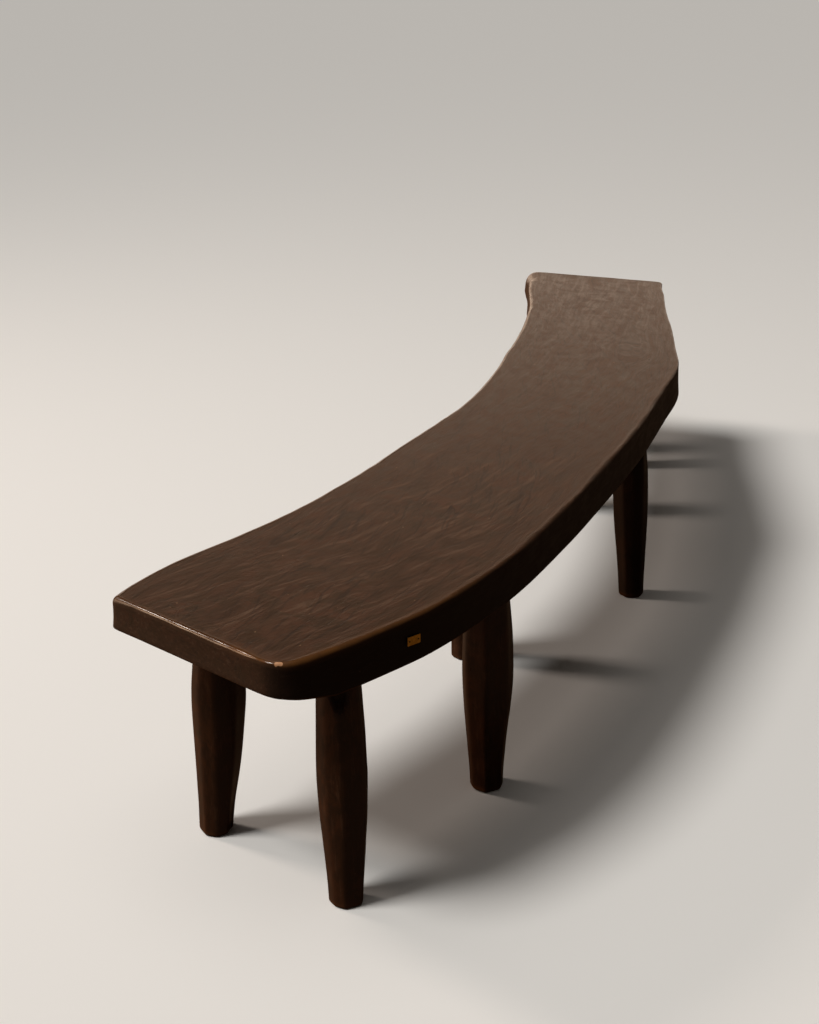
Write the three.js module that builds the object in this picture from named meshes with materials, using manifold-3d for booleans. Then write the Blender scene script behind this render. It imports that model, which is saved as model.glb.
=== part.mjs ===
// A long curved bench: one thick slab, bowed in plan like a boomerang, on eight carved peg legs.
// Each leg ends in a round tenon in a blind hole under the slab, spread there by a hidden wedge.
// Units are millimetres. +X runs along the bench, -Y is its outer, convex side, +Z is up.
// The origin is on the floor, under the middle of the slab's bounding box.
import * as THREE from 'three';
import { mergeVertices } from 'three/addons/utils/BufferGeometryUtils.js';
import Module from 'manifold-3d';

const wasm = await Module();
wasm.setup();

// Driving dimensions of the slab. The bow is how far the middle of the slab stands out to -Y from
// the line between its two ends. A corner radius is that of the flat faces, inside the rounded edge.
const seatLength = 2214;
const seatWidth = 365;
const seatBow = 195;
const seatHeight = 440;
const slabThickness = 70;
const topEdgeRadius = 8;
const bottomEdgeRadius = 4;
const sideFlare = 3;
const nearInnerCornerRadius = 1;
const nearOuterCornerRadius = 26;
const farInnerCornerRadius = 1;
const farOuterCornerRadius = 12;

// Towards each end the underside rises, so that the slab is thinnest at its end faces
const endTaperLength = 92;
const endTaperRise = 19;

// Driving dimensions of the legs, and of the joint that holds them in the slab
const legBellyRadius = 38;
const legSplayRun = 13;
const outerLegInset = 55;
const innerLegInset = 88;
const footEdgeRadius = 5;
const tenonRadius = 19;
const tenonLength = 46;
const tenonChamfer = 2;
const mortiseEndGap = 1.5;
const wedgeLength = 30;
const wedgeHeadThickness = 5;
const wedgeTipThickness = 1.6;
const wedgeSideInset = 2;

// Driving dimensions of the small blank plate on the outer edge, and of its two pins. It is fixed a
// few degrees off level, its near end the higher.
const plateLength = 26;
const plateHeight = 13;
const plateThickness = 1.4;
const plateCornerRadius = 1;
const plateDrop = 34;
const plateTilt = 4;
const pinShankRadius = 0.6;
const pinHeadRadius = 1.3;
const pinHeadHeight = 0.8;
const pinLength = 11;
const pinEndInset = 4;

// Space kept between pieces that touch, and how far a cutting shape runs past what it cuts
const jointGap = 0.3;
const cutOverrun = 4;

// Cross sections of the slab from its near end to its far end. Each row holds the place along the
// bench as a share of seatLength, the bow as a share of seatBow, the width as a share of seatWidth,
// and the lean of the section from +Y towards +X in degrees.
const sectionShares = [
  [0.002, -0.043, 0.98, 21.5],
  [0.038, 0.11, 1.075, 18.5],
  [0.077, 0.265, 1.135, 19.5],
  [0.115, 0.435, 1.15, 18],
  [0.194, 0.68, 1.125, 11],
  [0.296, 0.84, 1.08, 5.5],
  [0.398, 0.93, 1.045, 4],
  [0.5, 1, 1, 0.5],
  [0.6, 0.96, 1.005, -3.5],
  [0.655, 0.915, 1.035, -5],
  [0.685, 0.865, 1.035, -6.5],
  [0.725, 0.775, 0.99, -11],
  [0.79, 0.615, 0.95, -14.5],
  [0.87, 0.388, 0.906, -16.5],
  [0.95, 0.131, 0.927, -14],
  [0.981, 0.018, 0.951, -1.3],
  [1.01, -0.085, 1.033, 0.6],
];

// The plate's place, as a share of the length of the outer edge
const plateAlongShare = 0.101;

// The legs of each side from the near end on. Each row holds the leg's name, the place of its foot as
// a share of the length of that side's edge, its distance in from the edge as a share of the side's
// leg inset, the lean outwards as a share of legSplayRun, the girth as a share of the usual one, the
// height of the widest place as a share of the leg's length, and the way its facets face in degrees.
const legShares = [
  ['outer_1', 0.058, 0.81, 0.55, 0.96, 0.56, 8],
  ['outer_2', 0.2345, 1.17, 0.3, 1.05, 0.57, 20],
  ['outer_3', 0.5925, 0.83, 1.35, 0.93, 0.7, 2],
  ['outer_4', 0.936, 1.07, 1, 1, 0.64, 14],
  ['inner_1', 0.0615, 0.87, 1.85, 1.04, 0.72, 11],
  ['inner_2', 0.391, 1.12, 0.9, 0.97, 0.6, 17],
  ['inner_3', 0.7415, 1.04, 1.1, 1.03, 0.66, 5],
  ['inner_4', 0.9235, 0.86, 1.2, 0.96, 0.6, 21],
];

// A leg's outline from the floor up: height as a share of the leg's length, with the belly at
// usualBellyShare, and radius as a share of the belly's radius.
const usualBellyShare = 0.62;
const legProfileShares = [
  [0, 0.69],
  [0.1, 0.73],
  [0.2, 0.79],
  [0.32, 0.87],
  [0.44, 0.94],
  [0.62, 1],
  [0.76, 0.965],
  [0.88, 0.91],
  [1, 0.86],
];

// The dip of a carved facet's middle below its ridges, as a share of the leg's radius there
const facetDipShare = 0.025;
const legFacets = 8;

const seatWood = new THREE.MeshStandardMaterial({ color: 0x543e30, roughness: 0.42, metalness: 0 });
const legWood = new THREE.MeshStandardMaterial({ color: 0x3a2116, roughness: 0.5, metalness: 0 });
const wedgeWood = new THREE.MeshStandardMaterial({ color: 0xb98d5e, roughness: 0.75, metalness: 0 });
const brass = new THREE.MeshStandardMaterial({ color: 0xb08a3e, roughness: 0.32, metalness: 1 });

const up = new THREE.Vector3(0, 0, 1);
const underside = seatHeight - slabThickness;

// A closed three.js geometry as a manifold-3d solid
function solidFrom(geometry) {
  const bare = geometry.clone();
  bare.deleteAttribute('normal');
  bare.deleteAttribute('uv');
  const merged = mergeVertices(bare);
  const triVerts = new Uint32Array(merged.index.array);
  const vertProperties = merged.attributes.position.array;
  return new wasm.Manifold(new wasm.Mesh({ numProp: 3, vertProperties, triVerts }));
}

// A manifold-3d solid as a three.js geometry
function geometryFrom(solid) {
  const { vertProperties, triVerts } = solid.getMesh();
  const geometry = new THREE.BufferGeometry();
  geometry.setAttribute('position', new THREE.BufferAttribute(vertProperties, 3));
  geometry.setIndex(new THREE.BufferAttribute(triVerts, 1));
  geometry.computeVertexNormals();
  return geometry;
}

// A closed skin over rings of points, counter-clockwise from above and alike in number, from the
// lowest ring to the highest, capped flat at both ends
function loft(rings) {
  const count = rings[0].length;
  const index = [];
  for (let ring = 1; ring < rings.length; ring += 1) {
    for (let i = 0; i < count; i += 1) {
      const next = (i + 1) % count;
      const low = (ring - 1) * count;
      const high = ring * count;
      index.push(low + i, low + next, high + next, low + i, high + next, high + i);
    }
  }
  const last = (rings.length - 1) * count;
  for (const [a, b, c] of THREE.ShapeUtils.triangulateShape(rings[0], [])) {
    index.push(a, c, b);
  }
  for (const [a, b, c] of THREE.ShapeUtils.triangulateShape(rings.at(-1), [])) {
    index.push(last + a, last + b, last + c);
  }
  return new THREE.BufferGeometry().setFromPoints(rings.flat()).setIndex(index);
}

// One long edge of the slab from the near end to the far end, on the +Y side (1) or the -Y side (-1)
function edgeCurve(side) {
  const points = sectionShares.map(([along, bow, width, lean]) => {
    const angle = THREE.MathUtils.degToRad(lean);
    const reach = (side * width * seatWidth) / 2;
    const x = along * seatLength + reach * Math.sin(angle);
    const y = -bow * seatBow + reach * Math.cos(angle);
    return new THREE.Vector3(x, y, 0);
  });
  return new THREE.CatmullRomCurve3(points);
}

const innerEdge = edgeCurve(1);
const outerEdge = edgeCurve(-1);

// The edges' rounding cuts in from the outline by up to this much
const deepestInset = Math.max(sideFlare + topEdgeRadius, bottomEdgeRadius);

// The room that a corner's rounding has beyond the least that keeps every inset of it smooth
const cornerRoomShare = 1.12;
const edgeSteps = 44;
const cornerSteps = 5;
const endSteps = 5;

// A corner between a long edge and an end of the slab (0 near, 1 far): its point, and how far its
// rounding reaches along both. The rounding is a parabola that is tightest in its middle.
function cornerOf(edge, opposite, end, radius) {
  const point = edge.getPoint(end);
  const alongEdge = edge.getTangent(end).multiplyScalar(end === 0 ? 1 : -1);
  const alongEnd = opposite.getPoint(end).sub(point).normalize();
  const half = alongEdge.angleTo(alongEnd) / 2;
  const tightest = cornerRoomShare * (radius + deepestInset);
  return { point, reach: (tightest * Math.cos(half)) / Math.sin(half) ** 2 };
}

// The slab's outline seen from above at its widest, counter-clockwise from the near outer corner
function slabOutline() {
  const nearOuter = cornerOf(outerEdge, innerEdge, 0, nearOuterCornerRadius);
  const farOuter = cornerOf(outerEdge, innerEdge, 1, farOuterCornerRadius);
  const farInner = cornerOf(innerEdge, outerEdge, 1, farInnerCornerRadius);
  const nearInner = cornerOf(innerEdge, outerEdge, 0, nearInnerCornerRadius);
  const alongEdge = (edge, near, far) => {
    const first = near.reach / edge.getLength();
    const last = 1 - far.reach / edge.getLength();
    return Array.from({ length: edgeSteps + 1 }, (_, i) => {
      return edge.getPointAt(THREE.MathUtils.lerp(first, last, i / edgeSteps));
    });
  };
  const alongEnd = (from, to) => {
    const direction = to.point.clone().sub(from.point).normalize();
    const first = from.point.clone().addScaledVector(direction, from.reach);
    const last = to.point.clone().addScaledVector(direction, -to.reach);
    return new THREE.LineCurve3(first, last).getPoints(endSteps);
  };
  const round = (before, corner, after) => {
    const curve = new THREE.QuadraticBezierCurve3(before.at(-1), corner.point, after[0]);
    return curve.getPoints(cornerSteps).slice(1, -1);
  };
  const outer = alongEdge(outerEdge, nearOuter, farOuter);
  const far = alongEnd(farOuter, farInner);
  const inner = alongEdge(innerEdge, nearInner, farInner).reverse();
  const near = alongEnd(nearInner, nearOuter);
  return [
    ...outer,
    ...round(outer, farOuter, far),
    ...far,
    ...round(far, farInner, inner),
    ...inner,
    ...round(inner, nearInner, near),
    ...near,
    ...round(near, nearOuter, outer),
  ];
}

// The outline moved inwards by an inset and lifted to a height
function insetRing(outline, inset, height) {
  return outline.map((point, i) => {
    const incoming = point.clone().sub(outline.at(i - 1)).normalize();
    const outgoing = outline[(i + 1) % outline.length].clone().sub(point).normalize();
    const bisector = incoming.clone().add(outgoing).normalize();
    const inward = new THREE.Vector3(-bisector.y, bisector.x, 0);
    const mitred = point.clone().addScaledVector(inward, inset / bisector.dot(outgoing));
    return mitred.setZ(height);
  });
}

const edgeArcSteps = 3;

// The slab before its cuts: a softened lower edge, a side that flares out downwards and a rounded
// upper edge
function slabBlank() {
  const outline = slabOutline();
  const rings = [];
  for (let step = 0; step <= edgeArcSteps; step += 1) {
    const angle = (Math.PI / 2) * (step / edgeArcSteps);
    const inset = bottomEdgeRadius * (1 - Math.sin(angle));
    rings.push(insetRing(outline, inset, underside + bottomEdgeRadius * (1 - Math.cos(angle))));
  }
  for (let step = 0; step <= edgeArcSteps; step += 1) {
    const angle = (Math.PI / 2) * (step / edgeArcSteps);
    const inset = sideFlare + topEdgeRadius * (1 - Math.cos(angle));
    rings.push(insetRing(outline, inset, seatHeight - topEdgeRadius * (1 - Math.sin(angle))));
  }
  return solidFrom(loft(rings));
}

// The wedge of wood taken off under an end of the slab: 0 is the near end, 1 the far end
function endTaper(end) {
  const outer = outerEdge.getPoint(end);
  const inner = innerEdge.getPoint(end);
  const across = inner.clone().sub(outer).normalize();
  const inward = across.clone().cross(up).multiplyScalar(end === 0 ? 1 : -1);
  const slope = endTaperRise / endTaperLength;
  const shape = new THREE.Shape();
  shape.moveTo(endTaperLength, underside);
  shape.lineTo(-cutOverrun, underside + slope * (endTaperLength + cutOverrun));
  shape.lineTo(-cutOverrun, underside - cutOverrun);
  shape.lineTo(endTaperLength, underside - cutOverrun);
  const geometry = new THREE.ExtrudeGeometry(shape, { depth: 2 * seatWidth, bevelEnabled: false });
  geometry.translate(0, 0, -seatWidth);
  const place = new THREE.Matrix4().makeBasis(inward, up, inward.clone().cross(up));
  place.setPosition(outer.clone().lerp(inner, 0.5));
  return solidFrom(geometry.applyMatrix4(place));
}

// A point on an edge, the direction along it and the direction out of the slab
function edgePlace(edge, alongShare) {
  const along = edge.getTangentAt(alongShare);
  const side = edge === innerEdge ? 1 : -1;
  const outward = new THREE.Vector3(-along.y, along.x, 0).multiplyScalar(side);
  return { point: edge.getPointAt(alongShare), along, outward };
}

// In a leg's own frame the foot is at the origin, +Y points out of the slab and +Z up. The leg leans
// in towards its top, so the middle of a level slice moves towards -Y with its height.
function leanAt(leg, height) {
  return (-leg.splayShare * legSplayRun * height) / underside;
}

// A level ring of a leg, the middles of its facets dipping by a share of the radius
function legRing(leg, radius, height, dipShare) {
  const points = 2 * legFacets;
  return Array.from({ length: points }, (_, i) => {
    const angle = (2 * Math.PI * i) / points + THREE.MathUtils.degToRad(leg.turn);
    const reach = i % 2 ? radius * (1 - dipShare) : radius;
    const y = leanAt(leg, height) + reach * Math.sin(angle);
    return new THREE.Vector3(reach * Math.cos(angle), y, height);
  });
}

// A height share of the usual profile, moved so that the belly lies at the leg's own share
function shiftBelly(heightShare, bellyShare) {
  if (heightShare < usualBellyShare) {
    return (heightShare * bellyShare) / usualBellyShare;
  }
  const above = (heightShare - usualBellyShare) / (1 - usualBellyShare);
  return THREE.MathUtils.lerp(bellyShare, 1, above);
}

// The leg with its shoulder against the slab and its tenon above, before the saw kerf
function legBlank(leg) {
  const bellyRadius = legBellyRadius * leg.girthShare;
  const shoulder = underside - jointGap;
  const tenonTop = underside + tenonLength;
  const footRadius = bellyRadius * legProfileShares[0][1];
  const rings = [legRing(leg, footRadius - footEdgeRadius, 0, facetDipShare)];
  for (const [heightShare, radiusShare] of legProfileShares) {
    const share = shiftBelly(heightShare, leg.bellyShare);
    const height = THREE.MathUtils.lerp(footEdgeRadius, shoulder, share);
    rings.push(legRing(leg, bellyRadius * radiusShare, height, facetDipShare));
  }
  rings.push(legRing(leg, tenonRadius, shoulder, 0));
  rings.push(legRing(leg, tenonRadius, tenonTop - tenonChamfer, 0));
  rings.push(legRing(leg, tenonRadius - tenonChamfer, tenonTop, 0));
  return solidFrom(loft(rings));
}

// Where the head and the tip of a wedge lie once it is driven home against the end of its hole
const wedgeHead = underside + tenonLength + mortiseEndGap - jointGap;
const wedgeTip = wedgeHead - wedgeLength;

// A level slice of the wedge, or of the kerf that it spreads, grown on both faces by a gap
function wedgeRing(leg, height, halfWidth, gap) {
  const share = (height - wedgeTip) / wedgeLength;
  const half = THREE.MathUtils.lerp(wedgeTipThickness, wedgeHeadThickness, share) / 2 + gap;
  const corners = [[-half, -halfWidth], [half, -halfWidth], [half, halfWidth], [-half, halfWidth]];
  return corners.map(([x, y]) => new THREE.Vector3(x, leanAt(leg, height) + y, height));
}

function wedgeGeometry(leg) {
  const halfWidth = tenonRadius - wedgeSideInset;
  return loft([wedgeRing(leg, wedgeTip, halfWidth, 0), wedgeRing(leg, wedgeHead, halfWidth, 0)]);
}

// The saw kerf that the wedge spreads, right across the tenon
function kerf(leg) {
  const halfWidth = tenonRadius + cutOverrun;
  const bottom = wedgeRing(leg, wedgeTip - jointGap, halfWidth, jointGap);
  return solidFrom(loft([bottom, wedgeRing(leg, wedgeHead + cutOverrun, halfWidth, jointGap)]));
}

// The blind hole for the tenon, starting below the slab
function mortiseGeometry(leg) {
  const radius = tenonRadius + jointGap;
  const end = underside + tenonLength + mortiseEndGap;
  return loft([legRing(leg, radius, underside - cutOverrun, 0), legRing(leg, radius, end, 0)]);
}

const pinSides = 12;

// A round bar along +Z between two heights
function bar(radius, low, high) {
  const geometry = new THREE.CylinderGeometry(radius, radius, high - low, pinSides);
  return geometry.rotateX(Math.PI / 2).translate(0, 0, (low + high) / 2);
}

// The plate's outline with rounded corners
function plateShape() {
  const x = plateLength / 2;
  const y = plateHeight / 2;
  const r = plateCornerRadius;
  const shape = new THREE.Shape();
  shape.absarc(x - r, y - r, r, 0, Math.PI / 2);
  shape.absarc(r - x, y - r, r, Math.PI / 2, Math.PI);
  shape.absarc(r - x, r - y, r, Math.PI, 1.5 * Math.PI);
  shape.absarc(x - r, r - y, r, 1.5 * Math.PI, 2 * Math.PI);
  return shape;
}

// The frame of the plate: +X along the bench, +Y up the flared side and +Z out of it
function plateFrame() {
  const { point, along, outward } = edgePlace(outerEdge, plateAlongShare);
  const widest = underside + bottomEdgeRadius;
  const narrowest = seatHeight - topEdgeRadius;
  const slope = sideFlare / (narrowest - widest);
  const upSide = up.clone().addScaledVector(outward, -slope).normalize();
  const out = along.clone().cross(upSide);
  const height = seatHeight - plateDrop;
  const frame = new THREE.Group();
  frame.position.copy(point).addScaledVector(outward, -slope * (height - widest)).setZ(height);
  frame.position.addScaledVector(out, jointGap);
  frame.quaternion.setFromRotationMatrix(new THREE.Matrix4().makeBasis(along, upSide, out));
  frame.rotateZ(-THREE.MathUtils.degToRad(plateTilt));
  frame.updateMatrix();
  return frame;
}

// A domed pin along +Z, the underside of its head just clear of the plate's face
function pinGeometry() {
  const seat = plateThickness + jointGap;
  const tip = seat - pinLength;
  const profile = [
    new THREE.Vector2(0, tip),
    new THREE.Vector2(pinShankRadius, tip + 2 * pinShankRadius),
    new THREE.Vector2(pinShankRadius, seat),
    new THREE.Vector2(pinHeadRadius, seat),
    new THREE.Vector2(pinHeadRadius * Math.SQRT1_2, seat + pinHeadHeight * Math.SQRT1_2),
    new THREE.Vector2(0, seat + pinHeadHeight),
  ];
  return new THREE.LatheGeometry(profile, pinSides).rotateX(Math.PI / 2);
}

const bench = new THREE.Group();
let slab = slabBlank().subtract(endTaper(0)).subtract(endTaper(1));

// A named piece in a group, which gives the piece its place
function addPiece(group, name, geometry, material) {
  const mesh = new THREE.Mesh(geometry, material);
  mesh.name = name;
  group.add(mesh);
}

// Each leg with its wedge, and its hole in the slab
for (const [name, alongShare, insetShare, splayShare, girthShare, bellyShare, turn] of legShares) {
  const leg = { splayShare, girthShare, bellyShare, turn };
  const isInner = name.startsWith('inner');
  const { point, outward } = edgePlace(isInner ? innerEdge : outerEdge, alongShare);
  const inset = insetShare * (isInner ? innerLegInset : outerLegInset);
  const place = new THREE.Group();
  place.position.copy(point).addScaledVector(outward, -inset);
  place.rotation.z = Math.atan2(-outward.x, outward.y);
  place.updateMatrix();
  bench.add(place);
  slab = slab.subtract(solidFrom(mortiseGeometry(leg).applyMatrix4(place.matrix)));
  addPiece(place, `leg_${name}`, geometryFrom(legBlank(leg).subtract(kerf(leg))), legWood);
  addPiece(place, `wedge_${name}`, wedgeGeometry(leg), wedgeWood);
}

// The plate on its two pins, each in a hole of its own through the plate and into the slab
const plate = plateFrame();
bench.add(plate);
const plateExtrusion = { depth: plateThickness, bevelEnabled: false, curveSegments: 3 };
let plateSolid = solidFrom(new THREE.ExtrudeGeometry(plateShape(), plateExtrusion));
for (const [name, side] of [['plate_pin_near', -1], ['plate_pin_far', 1]]) {
  const x = side * (plateLength / 2 - pinEndInset);
  const hole = bar(pinShankRadius + jointGap, -pinLength, plateThickness + cutOverrun).translate(x, 0, 0);
  plateSolid = plateSolid.subtract(solidFrom(hole));
  slab = slab.subtract(solidFrom(hole.clone().applyMatrix4(plate.matrix)));
  addPiece(plate, name, pinGeometry().translate(x, 0, 0), brass);
}
addPiece(plate, 'blank_plate', geometryFrom(plateSolid), brass);
const seat = geometryFrom(slab);
addPiece(bench, 'seat_slab', seat, seatWood);

// The middle of the slab's box goes over the origin
seat.computeBoundingBox();
const middle = seat.boundingBox.getCenter(new THREE.Vector3());
bench.position.set(-middle.x, -middle.y, 0);

export default bench;
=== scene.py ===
"""A long curved bench of dark stained wood: the looks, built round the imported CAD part.

Lengths are metres in the row frame. The slab and the legs are rebuilt as finer meshes from the
outlines, profiles and joints of the CAD nodes; the plate, the pins and the wedges are CAD nodes.
"""

import math

import bmesh
import bpy
import numpy as np
from mathutils import Matrix, Vector, noise
from mathutils.geometry import delaunay_2d_cdt


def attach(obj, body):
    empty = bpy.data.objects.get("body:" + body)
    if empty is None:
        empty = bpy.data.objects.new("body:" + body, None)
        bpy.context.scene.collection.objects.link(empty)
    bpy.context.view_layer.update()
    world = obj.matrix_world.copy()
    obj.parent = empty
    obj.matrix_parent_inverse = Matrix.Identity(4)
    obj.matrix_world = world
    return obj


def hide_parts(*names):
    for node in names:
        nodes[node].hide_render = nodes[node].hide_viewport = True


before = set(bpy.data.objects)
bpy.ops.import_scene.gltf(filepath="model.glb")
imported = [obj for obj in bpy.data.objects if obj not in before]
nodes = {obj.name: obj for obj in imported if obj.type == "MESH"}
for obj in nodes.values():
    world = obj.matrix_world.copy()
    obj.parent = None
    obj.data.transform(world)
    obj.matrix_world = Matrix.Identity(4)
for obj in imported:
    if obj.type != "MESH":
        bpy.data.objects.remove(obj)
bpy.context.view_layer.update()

# Heights and radii that the CAD part has too
TOP = 0.440
UNDERSIDE = 0.370
TOP_EDGE = 0.008
BOTTOM_EDGE = 0.004
FLARE = 0.003
TAPER_LENGTH = 0.092
TAPER_RISE = 0.019
SHOULDER = 0.3697
# The points of a blind hole lie below this height and this near to its leg's axis
HOLE_TOP = 0.4185
HOLE_REACH = 0.0215
# A flat face whose middle lies nearer to the axis than this is in the hole, or in the tenon
IN_HOLE = 0.0188
IN_TENON = 0.0186
# Two heights are the same within this
SAME = 2e-5
# The seat's grain is measured from its near end, this far from the middle
HALF_LENGTH = 1.14
SHARP = math.radians(38)

LEGS = [
    "outer_1", "outer_2", "outer_3", "outer_4",
    "inner_1", "inner_2", "inner_3", "inner_4",
]


def cad(name):
    """Welded points and faces of a CAD node."""
    bm = bmesh.new()
    bm.from_mesh(nodes[name].data)
    bmesh.ops.remove_doubles(bm, verts=bm.verts, dist=1e-6)
    bm.verts.index_update()
    points = np.array([v.co for v in bm.verts])
    faces = [[v.index for v in f.verts] for f in bm.faces]
    bm.free()
    return points, faces


def chain(edges):
    """The closed loop of point numbers that a set of edges makes."""
    beside = {}
    for a, b in edges:
        beside.setdefault(a, []).append(b)
        beside.setdefault(b, []).append(a)
    start = min(beside)
    loop, last = [start], None
    while True:
        step = [n for n in beside[loop[-1]] if n != last]
        last = loop[-1]
        if step[0] == start and len(loop) > 2:
            return loop
        loop.append(step[0])


def ring_at(points, faces, height):
    """Point numbers of the closed loop of edges that lies at a height."""
    on = np.abs(points[:, 2] - height) < SAME
    edges = {
        tuple(sorted((a, b)))
        for f in faces
        for a, b in zip(f, f[1:] + f[:1])
        if on[a] and on[b]
    }
    return chain(edges)


def level_loop(points, faces, height):
    """The points of the loop at a height, counter-clockwise from above."""
    ring = points[ring_at(points, faces, height)]
    x, y = ring[:, 0], ring[:, 1]
    area = np.sum(x * np.roll(y, -1) - y * np.roll(x, -1))
    return ring if area > 0 else ring[::-1]


def smooth_loop(ring, step):
    """A closed curve through the points of a ring, sampled about every step."""
    out = []
    count = len(ring)
    for i in range(count):
        p = [ring[(i + k) % count] for k in (-1, 0, 1, 2)]
        t = [0.0]
        for a, b in zip(p, p[1:]):
            t.append(t[-1] + math.sqrt(np.linalg.norm(b - a)))
        pieces = max(2, round(np.linalg.norm(p[2] - p[1]) / step))
        for u in np.linspace(t[1], t[2], pieces, endpoint=False):
            a1 = (p[0] * (t[1] - u) + p[1] * (u - t[0])) / (t[1] - t[0])
            a2 = (p[1] * (t[2] - u) + p[2] * (u - t[1])) / (t[2] - t[1])
            a3 = (p[2] * (t[3] - u) + p[3] * (u - t[2])) / (t[3] - t[2])
            b1 = (a1 * (t[2] - u) + a2 * (u - t[0])) / (t[2] - t[0])
            b2 = (a2 * (t[3] - u) + a3 * (u - t[1])) / (t[3] - t[1])
            out.append((b1 * (t[2] - u) + b2 * (u - t[1])) / (t[2] - t[1]))
    return np.array(out)


def resample(line, count, crowd):
    """A line at count + 1 places, crowded towards its two ends by a share."""
    run = np.r_[0, np.cumsum(np.linalg.norm(np.diff(line, axis=0), axis=1))]
    u = np.linspace(0, 1, count + 1)
    u = (u - crowd * np.sin(2 * np.pi * u) / (2 * np.pi)) * run[-1]
    return np.stack([np.interp(u, run, line[:, k]) for k in range(line.shape[1])], 1), u


def ripple(place, scale, seed):
    """Smooth noise from -1 to 1 at a place along a line."""
    return noise.noise(Vector((place / scale, seed * 7.31, seed * 1.7)))


def tube_faces(ring_count, around, downward):
    """Quads between rings of points, facing outwards whether the rings run down or up."""
    faces = []
    for ring in range(ring_count - 1):
        a, b = ring * around, (ring + 1) * around
        for c in range(around):
            n = (c + 1) % around
            if downward:
                faces.append((a + c, b + c, b + n, a + n))
            else:
                faces.append((a + c, a + n, b + n, b + c))
    return faces


def flat_faces(flat, edges, numbers, keep):
    """Triangles between loops in a plane, kept where their middle passes a test."""
    places, _, triangles, origins = delaunay_2d_cdt(flat, edges, [], 1, 1e-7)[:4]
    faces = []
    for triangle in triangles:
        middle = sum((places[k] for k in triangle), Vector((0, 0))) / 3
        if keep(middle):
            faces.append(tuple(numbers[origins[k][0]] for k in triangle))
    return faces


def new_piece(name, points, faces, slot, grain=None, **masks):
    """A shaded mesh on the root body, with its wood direction and its masks as point attributes."""
    mesh = bpy.data.meshes.new(name)
    mesh.from_pydata([tuple(p) for p in points], [], [tuple(f) for f in faces])
    if grain is not None:
        attribute = mesh.attributes.new("grain", "FLOAT_VECTOR", "POINT")
        attribute.data.foreach_set("vector", np.asarray(grain, np.float32).ravel())
    for key, values in masks.items():
        attribute = mesh.attributes.new(key, "FLOAT", "POINT")
        attribute.data.foreach_set("value", np.asarray(values, np.float32))
    mesh.validate()
    for polygon in mesh.polygons:
        polygon.use_smooth = True
    mesh.set_sharp_from_angle(angle=SHARP)
    piece = bpy.data.objects.new(name, mesh)
    bpy.context.scene.collection.objects.link(piece)
    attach(piece, "root")
    return piece


# The slab's edge loop where the upper rounding starts, cut at its four corners

slab_points, slab_faces = cad("seat_slab")
edge = smooth_loop(level_loop(slab_points, slab_faces, TOP - TOP_EDGE), 0.002)


def corner_places(loop):
    """The four places of a loop where it turns the most."""
    reach, corner_size = 16, 0.1
    ahead = np.roll(loop, -reach, axis=0) - loop
    behind = loop - np.roll(loop, reach, axis=0)
    cosine = np.sum(ahead * behind, 1)
    cosine = cosine / np.linalg.norm(ahead, axis=1) / np.linalg.norm(behind, axis=1)
    turn = np.arccos(np.clip(cosine, -1, 1))
    found = []
    while len(found) < 4:
        best = int(np.argmax(turn))
        found.append(best)
        turn[np.linalg.norm(loop - loop[best], axis=1) < corner_size] = -1
    return found


corners = corner_places(edge)
first = min(sorted(corners, key=lambda i: edge[i][0])[:2], key=lambda i: edge[i][1])
edge = np.roll(edge, -first, axis=0)
cuts = sorted((i - first) % len(edge) for i in corners) + [len(edge)]
closed = np.vstack([edge, edge[:1]])
sides = [closed[a : b + 1] for a, b in zip(cuts, cuts[1:])]

# Columns along a long side and along an end, crowded towards the corners
LONG, SHORT = 520, 84
CROWD = 0.62
outer_side, outer_run = resample(sides[0], LONG, CROWD)
far_side, _ = resample(sides[1], SHORT, CROWD)
inner_side, inner_run = resample(sides[2], LONG, CROWD)
near_side, _ = resample(sides[3], SHORT, CROWD)
loop = np.vstack([outer_side[:-1], far_side[:-1], inner_side[:-1], near_side[:-1]])
columns = len(loop)
tangent = np.roll(loop, -1, axis=0) - np.roll(loop, 1, axis=0)
tangent /= np.linalg.norm(tangent, axis=1)[:, None]
outward = np.stack([tangent[:, 1], -tangent[:, 0], np.zeros(columns)], 1)
steps = np.linalg.norm(np.roll(loop, -1, axis=0) - loop, axis=1)
run = np.r_[0, np.cumsum(steps)[:-1]]
rim_length = steps.sum()
corner_columns = [0, LONG, LONG + SHORT, 2 * LONG + SHORT]
on_convex = np.arange(columns) < LONG
near_end_mask = (np.arange(columns) > 2 * LONG + SHORT) * 1.0


def from_column(column):
    """How far each column lies from one, along the rim."""
    apart = np.abs(run - run[column])
    return np.minimum(apart, rim_length - apart)


def end_line(side):
    """A point on an end of the slab, and the level direction into the slab from it."""
    a, b = side[len(side) // 5], side[-len(side) // 5]
    along = (b - a) / np.linalg.norm(b - a)
    return a, np.array([-along[1], along[0], 0.0])


ends = [end_line(near_side), end_line(far_side)]


def low_height(points):
    """Height of the underside above the floor, which rises towards both ends."""
    height = np.full(len(points), UNDERSIDE)
    for start, inward in ends:
        depth = (points - start) @ inward + FLARE
        height = np.maximum(height, UNDERSIDE + TAPER_RISE * (1 - depth / TAPER_LENGTH))
    return height


def side_out(height):
    """How far the flared side stands out from the edge loop at a height."""
    return FLARE * (TOP - TOP_EDGE - height) / (TOP - TOP_EDGE - UNDERSIDE - BOTTOM_EDGE)


def soften(values, times):
    """Values along the rim with their steps smoothed out."""
    for _ in range(times * 4):
        values = (np.roll(values, 1) + 2 * values + np.roll(values, -1)) / 4
    return values


# Hand work: the side waves a little, and the upper rounding swells and shrinks along the rim

# The edge is rubbed this far from the near convex corner
RUBBED_REACH = 0.42
# The waves die out this near a corner, and the inner corners are softer over this length
CALM_REACH = 0.05
SOFT_REACH = 0.045
WAVE = 0.0009
BELLY = 0.0007

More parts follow.
